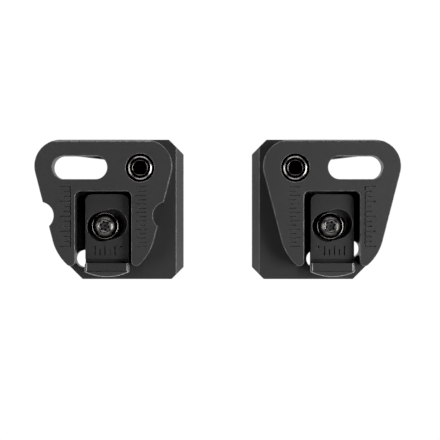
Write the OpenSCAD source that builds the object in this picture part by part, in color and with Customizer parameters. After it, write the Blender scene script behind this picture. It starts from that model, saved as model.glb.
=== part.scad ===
// Pair of splitboard fittings: a left and a right unit, lying flat, faces up (+Z).
// Each unit is a bevelled base plate with a two-prong fork plate on it, one socket
// cap screw, and an adjuster block that slides along an inclined slot in the throat.
// X runs across the pair, Y up the faces, Z out of them. Units are millimetres.

/* [Pair] */
// Distance between the inner edges of the two base plates
unit_gap = 28; // [16:1:60]

/* [Base plate] */
// Height of the base plate
base_h = 56.6; // [56:0.1:58]
// Thickness of the base plate
base_t = 6.5; // [6.5:0.1:7]
// Distance from the inner edge to the outer edge
base_w = 47.5; // [47.3:0.1:49]
// Leg of the corner cut at the top inner corner
top_cut = 5.8; // [3:0.1:7]
// Leg of the corner cut at the bottom inner corner
low_cut = 4.7; // [3:0.1:6]
// Leg of the corner cut at the bottom outer corner
outer_cut = 6.6; // [5:0.1:7.5]
// Width of the long bevel on the inner edge
edge_bevel = 2.9; // [1:0.1:3.5]
// Bottom of the strap clearance behind the fork slot
strap_low = 39.4; // [39:0.1:39.8]
// Top of the strap clearance at its inner end
strap_up = 48.3; // [48:0.1:50.6]
// Inner end of the strap clearance
strap_in = 29; // [28:0.1:29.5]
// Height of the two blind fixing threads in the back
fix_v = 36; // [35.8:0.1:36.4]
// Distance of the first fixing thread from the inner edge
fix_u = 10; // [8:0.5:12]
// Spacing of the two fixing threads
fix_span = 34; // [30:0.5:34.5]
// Core radius of the M5 fixing threads
fix_r = 2.1; // [2:0.05:2.2]

/* [Fork plate] */
// Thickness of the fork plate
fork_t = 8; // [8:0.1:9]
// Distance of the fork centre line from the inner edge
fork_u = 31.85; // [31.5:0.05:32]
// Top edge of the fork plate
fork_top = 56.2; // [55.8:0.1:56.5]
// Radius of the two upper corners
corner_r = 10.6; // [9:0.1:12]
// Half width of the fork at height 38
fork_half = 25.95; // [25.5:0.05:26.2]
// Lean of the two sides from upright, in degrees
side_lean = 14.4; // [13.8:0.1:14.8]
// Radius of the lower outer curve of the prongs
prong_r = 19.7; // [19:0.1:20.5]
// Height of the centre of that curve
prong_v = 20.6; // [20:0.1:21]
// Radius of the prong tips
tip_r = 1.9; // [1.6:0.1:2.1]
// Width of the throat between the prongs
throat_w = 22.5; // [22:0.1:23]
// Top of the throat
throat_top = 35.5; // [35:0.1:36]
// Corner radius of the throat
throat_r = 2.2; // [1:0.1:3]
// Width of the bevel along the top edge
top_bevel = 0.8; // [0.4:0.05:1.2]
// Radius of the side notches of the left unit
notch_r = 5.5; // [4.5:0.1:6]
// Half distance between the notch centres
notch_half = 25.35; // [25:0.05:26]
// Height of the notches
notch_v = 25.7; // [24:0.1:27]

/* [Strap slot] */
// Radius of the slot ends
strap_r = 4.7; // [4:0.1:4.8]
// Distance of the slot centre from the inner edge
strap_u = 41.25; // [41:0.05:41.5]
// Height of the slot centre
strap_v = 45.05; // [45:0.05:45.4]
// Distance between the centres of the two ends
strap_span = 12.6; // [10:0.1:13]

/* [Cap screw] */
// Distance of the cap screw from the inner edge
cap_u = 17.1; // [16.5:0.1:17.5]
// Height of the cap screw
cap_v = 44.9; // [44.5:0.1:45.5]
// Radius of its counterbore
cap_bore_r = 5.7; // [5.4:0.05:6]
// Depth of its counterbore
cap_bore_d = 6.2; // [6.1:0.05:6.3]

/* [Adjuster] */
// Distance of the adjuster screw from the inner edge
adj_u = 31.4; // [31.2:0.05:31.6]
// Height of the adjuster screw
adj_v = 21.6; // [21.3:0.1:22]
// Slope of the adjuster slots, rising towards +X, in degrees
slope = 15; // [13:0.5:17]
// Where the block stands along its slot
block_shift = 0.85; // [0:0.05:1]
// Width of the block
block_w = 17.6; // [17.2:0.1:17.8]
// Thickness of the block
block_t = 4; // [3.8:0.1:4.4]
// Height of the block above its slot centre
block_up = 12.55; // [12.4:0.05:13]
// Corner radius at the top of the block
block_r = 2.6; // [1:0.1:3]
// Travel of the block along its slot
travel = 4.3; // [4:0.1:4.4]
// Radius of the recess that the screw head sits in
recess_r = 6; // [5.8:0.05:6.1]
// Thickness of the block under the washer
web_t = 1.5; // [1.4:0.1:1.8]
// Height of the lip over the block face
lip_h = 2; // [1:0.1:3]
// Top edge of the lip below the slot centre
lip_top = 15.2; // [15:0.1:15.6]
// Bottom of the lip below the slot centre
lip_low = 20.7; // [20:0.1:21]
// Bevel at the two ends of the lip
lip_bevel = 0.8; // [0.4:0.1:1.2]

/* [Guide slot] */
// Distance of the guide slot centre from the inner edge
guide_u = 32.9; // [32.7:0.05:33]
// Height of the guide slot centre
guide_v = 10.2; // [10.1:0.05:10.4]
// Distance between the centres of the slot ends
guide_span = 15.4; // [15.3:0.05:15.6]
// Radius of the guide slot
guide_r = 3.45; // [3.3:0.05:3.5]
// Distance between the two guide pins
pin_span = 8.6; // [8.4:0.1:8.7]

/* [Hidden] */
$fn = 96;
eps = 0.01;
face_z = base_t + fork_t;
block_z = base_t + block_t;
cap_z = face_z - cap_bore_d;
washer_z = base_t + web_t;
washer_t = 1.6;
screw_z = washer_z + washer_t;
screw_r = 3;
insert_r = 4.5;
flange_r = 5.5;
flange_t = 1.2;
insert_gap = 0.2;
dowel_r = 1.5;
pin_r = guide_r - 0.08;
mark_d = 0.5;
dowels = [[25, 52], [45.3, 16]];
half_throat = throat_w / 2;
c1v = fork_top - corner_r;
c1w = fork_half - (corner_r - (c1v - 38) * sin(side_lean)) / cos(side_lean);
c2w = fork_half - (prong_r - (prong_v - 38) * sin(side_lean)) / cos(side_lean);
tip_w = half_throat + tip_r;
tip_v = prong_v - sqrt(pow(prong_r - tip_r, 2) - pow(tip_w - c2w, 2));

// u runs outward from the inner edge of a base plate and v up from its bottom edge.
module right_unit() translate([unit_gap / 2, -base_h / 2, 0]) children();
module left_unit() mirror([1, 0, 0]) right_unit() children();

// A round-ended slot outline, centred, lying along u.
module slot_shape(span, r) {
    translate([-span / 2, 0]) circle(r = r);
    translate([span / 2, 0]) circle(r = r);
    square([span, 2 * r], center = true);
}

// A box with only its two upper corners rounded, from its bottom edge up.
module arch_shape(w, h, r) {
    translate([-w / 2, 0]) square([w, h - r]);
    translate([-w / 2 + r, 0]) square([w - 2 * r, h]);
    translate([-w / 2 + r, h - r]) circle(r = r);
    translate([w / 2 - r, h - r]) circle(r = r);
}

// ---- Base plate ----

module base_outline() {
    polygon([
        [low_cut, 0], [base_w - outer_cut, 0], [base_w, outer_cut], [base_w, strap_low],
        [strap_in, strap_low], [strap_in, strap_up], [base_w, strap_up + 2.2], [base_w, base_h],
        [top_cut, base_h], [0, base_h - top_cut], [0, low_cut]
    ]);
}

module insert_seat(u, v) {
    translate([u, v, -1]) cylinder(r = insert_r, h = base_t + 2);
    translate([u, v, -1]) cylinder(r = flange_r, h = flange_t + 1);
}

module base_plate(hand) {
    difference() {
        linear_extrude(base_t) base_outline();
        translate([0, -1, base_t - edge_bevel]) rotate([0, -45, 0]) cube([10, base_h + 2, 10]);
        insert_seat(cap_u, cap_v);
        insert_seat(adj_u, adj_v);
        translate([guide_u, guide_v, -1]) rotate([0, 0, hand * slope])
            linear_extrude(base_t + 2) slot_shape(guide_span, guide_r);
        for (p = dowels) translate([p[0], p[1], 2.3]) cylinder(r = dowel_r, h = base_t);
        for (i = [0, 1]) translate([fix_u + i * fix_span, fix_v, -1])
            cylinder(r = fix_r, h = 6);
    }
}

// ---- Fork plate ----

// Points along an arc about c, from angle a0 to a1.
function arc(c, r, a0, a1, n) = [
    for (i = [0:n]) c + r * [cos(a0 + (a1 - a0) * i / n), sin(a0 + (a1 - a0) * i / n)]
];

// The outline right of the centre line, from the top edge down to the prong tip.
tip_a = atan2(tip_v - prong_v, tip_w - c2w);
half_points = concat(
    arc([c1w, c1v], corner_r, 90, -side_lean, 30),
    arc([c2w, prong_v], prong_r, -side_lean, tip_a, 12),
    arc([tip_w, tip_v], tip_r, tip_a - 9, -180, 14)
);
half_count = len(half_points);

module fork_outline(notched) {
    difference() {
        polygon(concat(half_points, [
            for (i = [1:half_count]) [-half_points[half_count - i][0], half_points[half_count - i][1]]
        ]));
        translate([0, -5]) arch_shape(throat_w, throat_top + 5, throat_r);
        translate([strap_u - fork_u, strap_v]) slot_shape(strap_span, strap_r);
        if (notched) for (s = [-1, 1]) translate([s * notch_half, notch_v]) circle(r = notch_r);
    }
}

// Plain graduated scales cut in the face of the two prongs.
module prong_marks() {
    translate([0, 0, face_z - mark_d]) {
        translate([44.7, 13.2, 0]) cube([0.5, 24.5, 1]);
        for (i = [0:12]) translate([45, 13.2 + 2 * i, 0]) cube([i % 3 == 0 ? 4.3 : 2.6, 0.5, 1]);
        for (i = [0:14]) translate([14.6, 13.2 + 1.7 * i, 0]) cube([i % 2 == 0 ? 4.4 : 2.8, 0.45, 1]);
    }
}

module fork_plate(notched) {
    difference() {
        translate([fork_u, 0, base_t]) linear_extrude(fork_t) fork_outline(notched);
        translate([0, fork_top, face_z - top_bevel]) rotate([45, 0, 0]) cube([70, 4, 4]);
        translate([cap_u, cap_v, base_t - 1]) cylinder(r = 3.3, h = fork_t + 2);
        translate([cap_u, cap_v, cap_z]) cylinder(r = cap_bore_r, h = 10);
        for (p = dowels) translate([p[0], p[1], base_t - 1]) cylinder(r = dowel_r, h = 6.2);
        prong_marks();
    }
}

// ---- Fasteners ----

module cap_screw() {
    translate([cap_u, cap_v, cap_z]) difference() {
        union() {
            translate([0, 0, -8]) cylinder(r = screw_r, h = 8 + eps);
            cylinder(r = 4.85, h = 5.6);
            translate([0, 0, 5.6]) cylinder(r1 = 4.85, r2 = 4.15, h = 0.4);
        }
        translate([0, 0, 2.4]) cylinder(r = 2.5 / cos(30), h = 4, $fn = 6);
        translate([0, 0, 5.65]) cylinder(r1 = 2.6, r2 = 3.15, h = 0.45);
    }
}

module insert(u, v, h) {
    translate([u, v, 0]) difference() {
        union() {
            cylinder(r = insert_r, h = h);
            cylinder(r = flange_r, h = flange_t);
        }
        translate([0, 0, -1]) cylinder(r = screw_r + 0.05, h = h + 2);
    }
}

module cap_insert() insert(cap_u, cap_v, base_t - insert_gap);
module adjuster_insert() insert(adj_u, adj_v, base_t - insert_gap);

module dowel_pins() {
    for (p = dowels) translate([p[0], p[1], 2.5]) cylinder(r = dowel_r, h = 9);
}

// Flanged domed head with a flat top and a six-lobe drive.
module adjuster_screw() {
    translate([adj_u, adj_v, screw_z]) difference() {
        union() {
            translate([0, 0, -8]) cylinder(r = screw_r, h = 8 + eps);
            cylinder(r = 5.35, h = 0.66);
            translate([0, 0, 0.66]) cylinder(r1 = 5.35, r2 = 5.05, h = 0.2);
            intersection() {
                translate([0, 0, -1.645]) sphere(r = 5.634);
                cylinder(r = 4.7, h = 3.3);
            }
        }
        translate([0, 0, 1.7]) cylinder(r = 1.55, h = 3);
        for (a = [0:60:300]) rotate([0, 0, a + 15]) translate([1.58, 0, 1.7])
            cylinder(r = 0.46, h = 3);
        translate([0, 0, 2.95]) cylinder(r1 = 2, r2 = 2.45, h = 0.45);
    }
}

module adjuster_washer() {
    translate([adj_u, adj_v, washer_z]) difference() {
        cylinder(r = 5.5, h = washer_t);
        translate([0, 0, -1]) cylinder(r = 3.2, h = washer_t + 2);
    }
}

// ---- Adjuster block ----

module on_block(hand) {
    translate([adj_u + hand * block_shift * cos(slope), adj_v + block_shift * sin(slope), 0])
        children();
}

// The two guide pins stand in the guide slot, centred under the block.
module guide_places(hand) {
    along = (adj_u + hand * block_shift * cos(slope) + 0.4 - guide_u) / cos(slope);
    translate([guide_u, guide_v, 0]) rotate([0, 0, hand * slope])
        for (s = [-1, 1]) translate([along + s * pin_span / 2, 0, 0]) children();
}

module lip_shape() {
    w = block_w + 0.3;
    sag = 2;
    r = (w * w / 4 + sag * sag) / (2 * sag);
    intersection() {
        translate([0, -lip_low]) arch_shape(w, lip_low - lip_top, 0.9);
        translate([0, -lip_low + r]) circle(r = r);
    }
}

// The lip: flat on top down to a scribed fold, then sloping gently to its curved lower edge.
module lip() {
    w = block_w + 2;
    top = block_z + lip_h;
    end = block_w / 2 + 0.15;
    difference() {
        lip_body(w, top, end);
        translate([-w / 2, -lip_top - 3.4, top - 0.4]) cube([w, 0.3, 1]);
    }
}

module lip_body(w, top, end) {
    intersection() {
        translate([0, 0, base_t]) linear_extrude(block_t + lip_h) lip_shape();
        translate([-w / 2, 0, 0]) rotate([90, 0, 90]) linear_extrude(w) polygon([
            [-lip_top, 0], [-lip_top, top], [-lip_top - 3.2, top], [-lip_low, top - 0.6],
            [-lip_low, 0]
        ]);
        translate([0, -lip_top + 1, 0]) rotate([90, 0, 0]) linear_extrude(lip_low) polygon([
            [-end, 0], [end, 0], [end, top - lip_bevel], [end - lip_bevel, top],
            [lip_bevel - end, top], [-end, top - lip_bevel]
        ]);
    }
}

module adjuster_block(hand) {
    difference() {
        on_block(hand) difference() {
            union() {
                translate([0, -lip_top - 1, base_t]) linear_extrude(block_t)
                    arch_shape(block_w, block_up + lip_top + 1, block_r);
                lip();
            }
            rotate([0, 0, hand * slope]) {
                translate([0, 0, washer_z]) linear_extrude(10) slot_shape(travel, recess_r);
                translate([0, 0, base_t - 1]) linear_extrude(10) slot_shape(travel, 3.3);
            }
            translate([-15, -lip_top, block_z - 1.2]) cube([30, 1.6, 5]);
        }
        guide_places(hand) translate([0, 0, base_t - 1]) cylinder(r = pin_r, h = 3.5);
        on_block(hand) block_marks(hand);
    }
}

// Index dot and plain graduation on the face of the block.
module block_marks(hand) {
    translate([-5.6, -8.6, block_z - mark_d]) cylinder(r = 0.4, h = 1);
    for (i = [0:4]) translate([-3.4 + 2 * i, -12, block_z - mark_d])
        cube([0.5, i % 2 == 0 ? 3.8 : 2.4, 1]);
}

module guide_pins(hand) {
    guide_places(hand) translate([0, 0, 1]) cylinder(r = pin_r, h = base_t + 1.3);
}

// ---- The two units ----

module left_base_plate() color("DimGray") left_unit() base_plate(-1);
module left_fork_plate() color("Gray") left_unit() fork_plate(true);
module left_cap_screw() color("Silver") left_unit() cap_screw();
module left_cap_insert() color("Silver") left_unit() cap_insert();
module left_dowel_pins() color("Silver") left_unit() dowel_pins();
module left_adjuster_block() color("DarkGray") left_unit() adjuster_block(-1);
module left_guide_pins() color("Silver") left_unit() guide_pins(-1);
module left_adjuster_screw() color("Silver") left_unit() adjuster_screw();
module left_adjuster_washer() color("Silver") left_unit() adjuster_washer();
module left_adjuster_insert() color("Silver") left_unit() adjuster_insert();

module right_base_plate() color("DimGray") right_unit() base_plate(1);
module right_fork_plate() color("Gray") right_unit() fork_plate(false);
module right_cap_screw() color("Silver") right_unit() cap_screw();
module right_cap_insert() color("Silver") right_unit() cap_insert();
module right_dowel_pins() color("Silver") right_unit() dowel_pins();
module right_adjuster_block() color("DarkGray") right_unit() adjuster_block(1);
module right_guide_pins() color("Silver") right_unit() guide_pins(1);
module right_adjuster_screw() color("Silver") right_unit() adjuster_screw();
module right_adjuster_washer() color("Silver") right_unit() adjuster_washer();
module right_adjuster_insert() color("Silver") right_unit() adjuster_insert();

left_base_plate();
left_fork_plate();
left_cap_screw();
left_cap_insert();
left_dowel_pins();
left_adjuster_block();
left_guide_pins();
left_adjuster_screw();
left_adjuster_washer();
left_adjuster_insert();
right_base_plate();
right_fork_plate();
right_cap_screw();
right_cap_insert();
right_dowel_pins();
right_adjuster_block();
right_guide_pins();
right_adjuster_screw();
right_adjuster_washer();
right_adjuster_insert();
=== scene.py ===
"""Looks of the pair of splitboard fittings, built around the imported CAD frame."""
import math

import bpy
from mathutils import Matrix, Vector


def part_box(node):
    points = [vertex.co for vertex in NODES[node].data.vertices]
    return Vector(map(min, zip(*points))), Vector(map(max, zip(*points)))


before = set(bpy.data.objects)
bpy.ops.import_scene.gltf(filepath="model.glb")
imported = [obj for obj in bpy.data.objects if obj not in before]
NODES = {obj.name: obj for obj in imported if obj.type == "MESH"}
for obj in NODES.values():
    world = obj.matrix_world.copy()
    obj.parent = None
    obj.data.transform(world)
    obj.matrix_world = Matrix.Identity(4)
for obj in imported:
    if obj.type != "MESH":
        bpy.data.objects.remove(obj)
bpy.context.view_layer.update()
MM = 0.001
SIDES = ("left", "right")
FACE_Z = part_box("left_fork_plate")[1].z
BLOCK_Z = FACE_Z - 4.0 * MM  # the block's flat face, below its lip
MARK_DEPTH = 0.5 * MM        # of the graduation cuts
TOUCH = 2e-6                 # places closer than this are one place
RADIUS_SPAN = 6              # mm out from a screw's axis that its tones are given for
ANODISED_WARMTH = 0.01
STEEL_WARMTH = 0.04
BARE_WARMTH = 0.02
CONVEX_ANGLE = 25            # degrees; edges that turn out by more are rounded
SHARP_ANGLE = 38             # degrees; edges that still turn by more are shaded sharp
SHORT_EDGE = 0.3 * MM


# ---------------------------------------------------------------- materials

def new_material(name):
    """Material with a principled shader, and its object coordinates."""
    mat = bpy.data.materials.new(name)
    mat.use_nodes = True
    tree = mat.node_tree
    tree.nodes.clear()
    out = tree.nodes.new("ShaderNodeOutputMaterial")
    bsdf = tree.nodes.new("ShaderNodeBsdfPrincipled")
    tree.links.new(bsdf.outputs["BSDF"], out.inputs["Surface"])
    coord = tree.nodes.new("ShaderNodeTexCoord")
    return mat, tree, bsdf, coord.outputs["Object"]


def noise(tree, vector, scale, detail=2.0, rough=0.5):
    n = tree.nodes.new("ShaderNodeTexNoise")
    n.inputs["Scale"].default_value = scale
    n.inputs["Detail"].default_value = detail
    n.inputs["Roughness"].default_value = rough
    tree.links.new(vector, n.inputs["Vector"])
    return n.outputs["Fac"]


def ramp(tree, fac, low, high):
    """Black below low, white above high."""
    n = tree.nodes.new("ShaderNodeValToRGB")
    e = n.color_ramp.elements
    e[0].position, e[0].color = low, (0, 0, 0, 1)
    e[1].position, e[1].color = high, (1, 1, 1, 1)
    tree.links.new(fac, n.inputs["Fac"])
    return n.outputs["Color"]


def steps(tree, reach, stops):
    """Grey ramp over a radius, through ((radius in mm, value), ...)."""
    n = tree.nodes.new("ShaderNodeValToRGB")
    e = n.color_ramp.elements
    while len(e) < len(stops):
        e.new(0.5)
    for stop, (place, value) in zip(e, stops):
        stop.position, stop.color = place / RADIUS_SPAN, (value, value, value, 1)
    tree.links.new(to_range(tree, reach, 0, 1, 0, RADIUS_SPAN * MM), n.inputs["Fac"])
    return n.outputs["Color"]


def mix(tree, fac, a, b, blend="MIX"):
    n = tree.nodes.new("ShaderNodeMix")
    n.data_type = "RGBA"
    n.blend_type = blend
    for value, sock in ((fac, n.inputs[0]), (a, n.inputs[6]), (b, n.inputs[7])):
        if isinstance(value, (int, float)):
            sock.default_value = value
        elif isinstance(value, tuple):
            sock.default_value = (*value, 1)
        else:
            tree.links.new(value, sock)
    return n.outputs[2]


def to_range(tree, fac, low, high, from_low, from_high):
    """Maps from_low..from_high to low..high, clamped."""
    n = tree.nodes.new("ShaderNodeMapRange")
    n.inputs["From Min"].default_value = from_low
    n.inputs["From Max"].default_value = from_high
    n.inputs["To Min"].default_value = low
    n.inputs["To Max"].default_value = high
    tree.links.new(fac, n.inputs["Value"])
    return n.outputs["Result"]


def bump(tree, bsdf, height, strength, distance):
    n = tree.nodes.new("ShaderNodeBump")
    n.inputs["Strength"].default_value = strength
    n.inputs["Distance"].default_value = distance
    tree.links.new(height, n.inputs["Height"])
    tree.links.new(n.outputs["Normal"], bsdf.inputs["Normal"])


def grey(value, warm=0.0):
    """Linear grey, a little red when warm."""
    return (value * (1 + warm), value, value * (1 - warm))


def anodised(name, tone, rough, wear_and_painted_light=0.0, bare_and_highlight_above=None):
    """Bead-blasted aluminium under a dyed black oxide: fine grain, faint dye clouds, edges worn lighter, a
    tone that is also a painted highlight along the rims. A (height, tone) pair makes the edges above that
    height bare metal of that tone: rubbed metal and a painted highlight."""
    mat, tree, bsdf, obj = new_material(name)
    clouds = noise(tree, obj, 70, 3)
    grain = noise(tree, obj, 5200, 2)
    specks = noise(tree, obj, 1700, 3, 0.7)
    colour = mix(tree, clouds, grey(tone * 0.82, ANODISED_WARMTH), grey(tone * 1.18, ANODISED_WARMTH))
    colour = mix(tree, ramp(tree, specks, 0.62, 0.75), colour, grey(tone * 1.9, ANODISED_WARMTH))
    if wear_and_painted_light:
        # lighter patches on the edges: worn metal and a painted highlight along the rims
        worn_and_highlit = ramp(tree, noise(tree, obj, 420, 4, 0.65), 0.42, 0.7)
        colour = mix(tree, worn_and_highlit, colour, grey(wear_and_painted_light, BARE_WARMTH))
    if bare_and_highlight_above:
        # above the height, bare metal: rubbed metal and a painted highlight on the raised edges
        height, bare_and_highlight_tone = bare_and_highlight_above
        split = tree.nodes.new("ShaderNodeSeparateXYZ")
        tree.links.new(obj, split.inputs["Vector"])
        high = to_range(tree, split.outputs["Z"], 0, 1, height, height + 0.3 * MM)
        metal = mix(tree, clouds, grey(bare_and_highlight_tone * 0.8, BARE_WARMTH), grey(bare_and_highlight_tone * 1.2, BARE_WARMTH))
        colour = mix(tree, high, colour, metal)
    tree.links.new(colour, bsdf.inputs["Base Color"])
    tree.links.new(to_range(tree, grain, rough - 0.07, rough + 0.07, 0.3, 0.7), bsdf.inputs["Roughness"])
    bsdf.inputs["Metallic"].default_value = 0.0
    bsdf.inputs["Specular IOR Level"].default_value = 0.62
    bump(tree, bsdf, grain, 0.22, 0.00003)
    return mat


def steel(name, tone, rough, centre=None, rings=0.0, wear_and_painted_light=None, drive_light_and_shade=None, relief=0.25):
    """Steel. With a centre it is a screw head's: faint turning rings round it, rings of painted highlight and
    painted shade out from it, and, if given, painted light and shade inside its drive, which is made
    non-metal there."""
    mat, tree, bsdf, obj = new_material(name)
    mottled = noise(tree, obj, 900, 4, 0.6)
    fine = noise(tree, obj, 4200, 2)
    colour = mix(tree, ramp(tree, mottled, 0.35, 0.7),
                 grey(tone * 0.72, STEEL_WARMTH), grey(tone * 1.15, STEEL_WARMTH))
    tree.links.new(to_range(tree, fine, rough - 0.06, rough + 0.08, 0.3, 0.7), bsdf.inputs["Roughness"])
    bsdf.inputs["Metallic"].default_value = 1.0
    height = fine
    if centre is not None:
        place = tree.nodes.new("ShaderNodeMapping")
        place.inputs["Location"].default_value = [-c for c in centre]
        tree.links.new(obj, place.inputs["Vector"])
        level = tree.nodes.new("ShaderNodeVectorMath")
        level.operation = "MULTIPLY"
        level.inputs[1].default_value = (1, 1, 0)
        tree.links.new(place.outputs["Vector"], level.inputs[0])
        reach = tree.nodes.new("ShaderNodeVectorMath")
        reach.operation = "LENGTH"
        tree.links.new(level.outputs["Vector"], reach.inputs[0])
        reach = reach.outputs["Value"]
        # rings of painted highlight and painted shade round the axis
        colour = mix(tree, 1.0, colour, steps(tree, reach, wear_and_painted_light), "MULTIPLY")
        # inside the drive, painted light and shade on dull non-metal: floor tones by radius, a lighter ledge
        if drive_light_and_shade:
            radius, brim, floor, ledge = drive_light_and_shade
            split = tree.nodes.new("ShaderNodeSeparateXYZ")
            tree.links.new(place.outputs["Vector"], split.inputs["Vector"])
            high = to_range(tree, split.outputs["Z"], 0, 1, (brim - 0.1) * MM, brim * MM)
            outside = to_range(tree, reach, 0, 1, (radius - 0.05) * MM, (radius + 0.05) * MM)
            colour = mix(tree, outside, mix(tree, high, steps(tree, reach, floor), grey(ledge)), colour)
            tree.links.new(outside, bsdf.inputs["Metallic"])
        wave = tree.nodes.new("ShaderNodeTexWave")
        wave.wave_type = "RINGS"
        wave.rings_direction = "Z"
        wave.inputs["Scale"].default_value = 900
        wave.inputs["Distortion"].default_value = 0.6
        tree.links.new(place.outputs["Vector"], wave.inputs["Vector"])
        height = mix(tree, rings, fine, wave.outputs["Fac"])
    tree.links.new(colour, bsdf.inputs["Base Color"])
    bump(tree, bsdf, height, relief, 0.00002)
    return mat


# ---------------------------------------------------------------- edges of the CAD nodes

def node_group(name, build):
    """Geometry node group whose one step is build(group, geometry)."""
    group = bpy.data.node_groups.new(name, "GeometryNodeTree")
    group.interface.new_socket("Geometry", in_out="INPUT", socket_type="NodeSocketGeometry")
    group.interface.new_socket("Geometry", in_out="OUTPUT", socket_type="NodeSocketGeometry")
    start, end = group.nodes.new("NodeGroupInput"), group.nodes.new("NodeGroupOutput")
    group.links.new(build(group, start.outputs[0]), end.inputs[0])
    return group


def edge_angle(group, signed, limit):
    """True on edges that turn by more than limit degrees; signed keeps only the convex ones."""
    angle = group.nodes.new("GeometryNodeInputMeshEdgeAngle")
    more = group.nodes.new("FunctionNodeCompare")
    more.data_type, more.operation = "FLOAT", "GREATER_THAN"
    more.inputs[1].default_value = math.radians(limit)
    group.links.new(angle.outputs[1 if signed else 0], more.inputs[0])
    return more.outputs[0]


def weigh_edges(group, geometry):
    """Merges the split vertices and gives convex edges a bevel weight, fine ones a small one."""
    merge = group.nodes.new("GeometryNodeMergeByDistance")
    merge.inputs["Distance"].default_value = TOUCH
    fine = group.nodes.new("GeometryNodeInputNamedAttribute")
    fine.data_type = "FLOAT"
    fine.inputs["Name"].default_value = "fine"
    weight = group.nodes.new("ShaderNodeMapRange")
    weight.inputs["To Min"].default_value = 1.0
    weight.inputs["To Max"].default_value = 0.0
    switch = group.nodes.new("GeometryNodeSwitch")
    switch.input_type = "FLOAT"
    store = group.nodes.new("GeometryNodeStoreNamedAttribute")
    store.data_type, store.domain = "FLOAT", "EDGE"
    store.inputs["Name"].default_value = "bevel_weight_edge"
    link = group.links.new
    link(geometry, merge.inputs["Geometry"])
    link(fine.outputs[0], weight.inputs["Value"])
    link(edge_angle(group, True, CONVEX_ANGLE), switch.inputs["Switch"])
    link(weight.outputs["Result"], switch.inputs["True"])
    link(merge.outputs["Geometry"], store.inputs["Geometry"])
    link(switch.outputs["Output"], store.inputs["Value"])
    return store.outputs["Geometry"]


def shade_by_angle(group, geometry):
    """Smooth faces, parted at the sharp edges."""
    smooth = group.nodes.new("GeometryNodeSetShadeSmooth")
    smooth.domain = "FACE"
    sharp = group.nodes.new("GeometryNodeSetShadeSmooth")
    sharp.domain = "EDGE"
    sharp.inputs["Shade Smooth"].default_value = False
    group.links.new(geometry, smooth.inputs["Geometry"])
    group.links.new(smooth.outputs["Geometry"], sharp.inputs["Geometry"])
    group.links.new(edge_angle(group, False, SHARP_ANGLE), sharp.inputs["Selection"])
    return sharp.outputs["Geometry"]


WEIGH = node_group("weigh_edges", weigh_edges)
SHADE = node_group("shade_by_angle", shade_by_angle)


def mark_fine(obj):
    """Marks the edges that stay crisper than the rest: round the graduation cuts, along the block's
    groove and the fold of its lip, and where the fork plate's top chamfer runs out in an edge too short
    to round."""
    mesh = obj.data
    top = max(v.co.z for v in mesh.vertices)
    spans = ()
    if obj.name.endswith("adjuster_block"):
        top = BLOCK_Z
        brink = max(v.co.y for v in mesh.vertices if v.co.z > top + 0.5 * MM)
        fold = (brink - 3.6 * MM, brink - 2.9 * MM)
        groove = (brink - 0.05 * MM, brink + 1.7 * MM)
        spans = (fold, groove)

    def spot(v):
        return round(v.co.x * 1e5), round(v.co.y * 1e5)

    floor = {spot(v) for v in mesh.vertices if abs(v.co.z - (top - MARK_DEPTH)) < TOUCH}
    cut = [abs(v.co.z - top) < TOUCH and spot(v) in floor for v in mesh.vertices]

    def fineness(edge):
        if all(cut[i] for i in edge.vertices):
            return 0.8
        a, b = (mesh.vertices[i].co for i in edge.vertices)
        if obj.name.endswith("fork_plate") and abs(a.z - b.z) > TOUCH and (a - b).length < SHORT_EDGE:
            return 1.0
        along = abs(a.y - b.y) < 2e-5 and min(a.z, b.z) > top - TOUCH
        return float(along and any(low < a.y < high for low, high in spans))

    mesh.attributes.new("fine", "FLOAT", "EDGE").data.foreach_set("value", [fineness(e) for e in mesh.edges])


def dress(name, face, edge, width):
    """Gives a CAD node its materials and small rounded edges."""
    obj = NODES[name]
    mesh = obj.data
    if "custom_normal" in mesh.attributes:
        mesh.attributes.remove(mesh.attributes["custom_normal"])
    mesh.materials.clear()
    mesh.materials.append(face)
    mesh.materials.append(edge)
    mark_fine(obj)
    weigh = obj.modifiers.new("weigh", "NODES")
    weigh.node_group = WEIGH
    flat = obj.modifiers.new("flat", "DECIMATE")
    flat.decimate_type = "DISSOLVE"
    flat.angle_limit = math.radians(0.2)
    bevel = obj.modifiers.new("edges", "BEVEL")
    bevel.limit_method = "WEIGHT"
    bevel.width = width
    bevel.segments = 3
    bevel.use_clamp_overlap = False
    bevel.material = 1
    bevel.miter_outer = "MITER_ARC"
    bevel.face_strength_mode = "FSTR_ALL"
    whole = obj.modifiers.new("whole", "TRIANGULATE")
    whole.quad_method, whole.ngon_method = "BEAUTY", "BEAUTY"
    whole.min_vertices = 5
    shade = obj.modifiers.new("shade", "NODES")
    shade.node_group = SHADE
    normals = obj.modifiers.new("normals", "WEIGHTED_NORMAL")
    normals.keep_sharp = True
    normals.use_face_influence = True


# Rings of painted highlight and painted shade out from each screw's axis, as (radius in mm, share of the
# steel's own tone).
RING_LIGHT_AND_SHADE = {
    "cap_screw": (
        (0, 0.03), (2.9, 0.03), (3.0, 0.3), (3.25, 0.25), (3.4, 0.06), (4.0, 0.06), (4.1, 0.42), (4.5, 0.46),
        (4.8, 0.32), (4.9, 0.06)),
    "adjuster_screw": (
        (0, 0.1), (1.95, 0.1), (2.05, 0.42), (2.35, 0.42), (2.5, 0.18), (3.5, 0.21), (3.9, 0.1), (4.95, 0.07),
        (5.05, 0.36), (5.35, 0.42)),
}
# Painted light and shade inside the drive, which is given as dull non-metal: radius, height of the ledge,
# floor tones by radius, ledge tone.
DRIVE_LIGHT_AND_SHADE = {
    "cap_screw": None,
    "adjuster_screw": (
        1.98, 5.3, ((0, 0.01), (0.4, 0.02), (0.7, 0.07), (1.2, 0.07), (1.4, 0.015), (2, 0.004)), 0.09),
}
SCREW_TONE = 0.5

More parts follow.
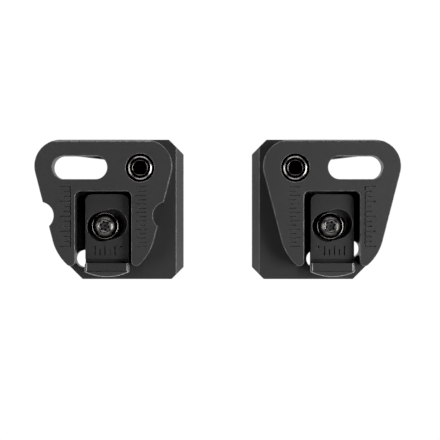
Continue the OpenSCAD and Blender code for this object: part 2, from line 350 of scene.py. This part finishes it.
# Each part has a face material and an edge one for its rounded rims; the fork's and block's edge ones are
# lighter: worn metal and a painted highlight along the rims.
base_face = anodised("anodised_base", 0.018, 0.46)
base_edge = anodised("anodised_base_edge", 0.014, 0.40, wear_and_painted_light=0.06)
fork_face = anodised("anodised_fork", 0.021, 0.46)
fork_edge = anodised("anodised_fork_edge", 0.03, 0.36, wear_and_painted_light=0.12)
block_face = anodised("anodised_block", 0.016, 0.46)
# The block's lip edges above its flat face are near white: bare metal and a painted highlight along the lip's
# rim.
block_edge = anodised("anodised_block_edge", 0.03, 0.36, wear_and_painted_light=0.08, bare_and_highlight_above=(BLOCK_Z, 0.3))
washer_face = steel("washer_black", 0.030, 0.35)
washer_edge = steel("washer_black_edge", 0.06, 0.32)
insert_face = steel("insert_steel", 0.42, 0.34)
insert_edge = steel("insert_steel_edge", 0.50, 0.28)

for side in SIDES:
    dress(f"{side}_base_plate", base_face, base_edge, 0.22 * MM)
    dress(f"{side}_fork_plate", fork_face, fork_edge, 0.26 * MM)
    dress(f"{side}_adjuster_block", block_face, block_edge, 0.2 * MM)
    dress(f"{side}_adjuster_washer", washer_face, washer_edge, 0.15 * MM)
    for part in ("cap_insert", "adjuster_insert", "dowel_pins", "guide_pins"):
        dress(f"{side}_{part}", insert_face, insert_edge, 0.12 * MM)
    for part in ("cap_screw", "adjuster_screw"):
        name = f"{side}_{part}"
        low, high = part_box(name)
        # heads get rings of painted highlight and painted shade; the adjuster's drive gets painted light and
        # shade
        look = {"centre": (low + high) / 2, "wear_and_painted_light": RING_LIGHT_AND_SHADE[part], "drive_light_and_shade": DRIVE_LIGHT_AND_SHADE[part]}
        screw_face = steel(f"{name}_steel", SCREW_TONE, 0.28, rings=0.5, **look)
        screw_edge = steel(f"{name}_steel_edge", SCREW_TONE, 0.24, rings=0.2, relief=0.1, **look)
        dress(name, screw_face, screw_edge, 0.15 * MM)


# ---------------------------------------------------------------- floor, light, camera

FLOOR_GLOW = 1.02
HORIZON_GLOW, ZENITH_GLOW = 1.6, 0.02      # sky strength, falling between these two heights
HORIZON, ZENITH = 0.02, 0.40
BLACK_POINT = 0.006
VIEW_WIDTH = 0.176                         # metres across the picture, at FACE_DISTANCE
FACE_DISTANCE = 0.520
SENSOR_MM = 36


def emission(name, strength):
    """White light of its own, and nothing else."""
    mat = bpy.data.materials.new(name)
    mat.use_nodes = True
    tree = mat.node_tree
    tree.nodes.clear()
    out = tree.nodes.new("ShaderNodeOutputMaterial")
    glow = tree.nodes.new("ShaderNodeEmission")
    glow.inputs["Color"].default_value = (1, 1, 1, 1)
    glow.inputs["Strength"].default_value = strength
    tree.links.new(glow.outputs["Emission"], out.inputs["Surface"])
    return mat


def make_floor():
    """The photo's white ground, just under the pair."""
    mesh = bpy.data.meshes.new("floor")
    half, z = 6.0, -0.4 * MM
    corners = [(-half, -half, z), (half, -half, z), (half, half, z), (-half, half, z)]
    mesh.from_pydata(corners, [], [(0, 1, 2, 3)])
    floor = bpy.data.objects.new("floor", mesh)
    bpy.context.scene.collection.objects.link(floor)
    mesh.materials.append(emission("floor_white", FLOOR_GLOW))


def area(name, place, size, size_y, power):
    """Rectangular light aimed at the pair."""
    light = bpy.data.lights.new(name, "AREA")
    light.energy = power
    light.shape = "RECTANGLE"
    light.size, light.size_y = size, size_y
    obj = bpy.data.objects.new(name, light)
    bpy.context.scene.collection.objects.link(obj)
    obj.location = place
    obj.rotation_mode = "QUATERNION"
    obj.rotation_quaternion = (-Vector(place)).to_track_quat("-Z", "Y")


make_floor()
area("back_low", (0.0, 1.3, 0.10), 1.8, 0.16, 13.0)
area("back_high", (0.0, 0.9, 0.57), 1.2, 0.3, 3.6)
area("right", (0.88, -0.1, 0.72), 0.8, 0.5, 15.0)
area("left", (-0.88, -0.1, 0.66), 0.8, 0.5, 6.6)
area("front", (0.0, -0.9, 0.62), 1.1, 0.4, 3.2)

scene = bpy.context.scene
world = bpy.data.worlds.new("studio")
scene.world = world
world.use_nodes = True
sky = world.node_tree
sky_dir = sky.nodes.new("ShaderNodeTexCoord")
sky_split = sky.nodes.new("ShaderNodeSeparateXYZ")
sky.links.new(sky_dir.outputs["Generated"], sky_split.inputs["Vector"])
background = sky.nodes["Background"]
background.inputs["Color"].default_value = (1, 1, 1, 1)
sky.links.new(to_range(sky, sky_split.outputs["Z"], HORIZON_GLOW, ZENITH_GLOW, HORIZON, ZENITH),
              background.inputs["Strength"])
scene.view_settings.view_transform = "Standard"
scene.view_settings.use_curve_mapping = True
scene.view_settings.curve_mapping.black_level = (BLACK_POINT,) * 3

cam_data = bpy.data.cameras.new("camera")
camera = bpy.data.objects.new("camera", cam_data)
scene.collection.objects.link(camera)
camera.location = (0.00093, -0.00432, 0.5345)
cam_data.sensor_width = SENSOR_MM
cam_data.lens = SENSOR_MM * FACE_DISTANCE / VIEW_WIDTH
cam_data.clip_start, cam_data.clip_end = 0.01, 50
scene.camera = camera
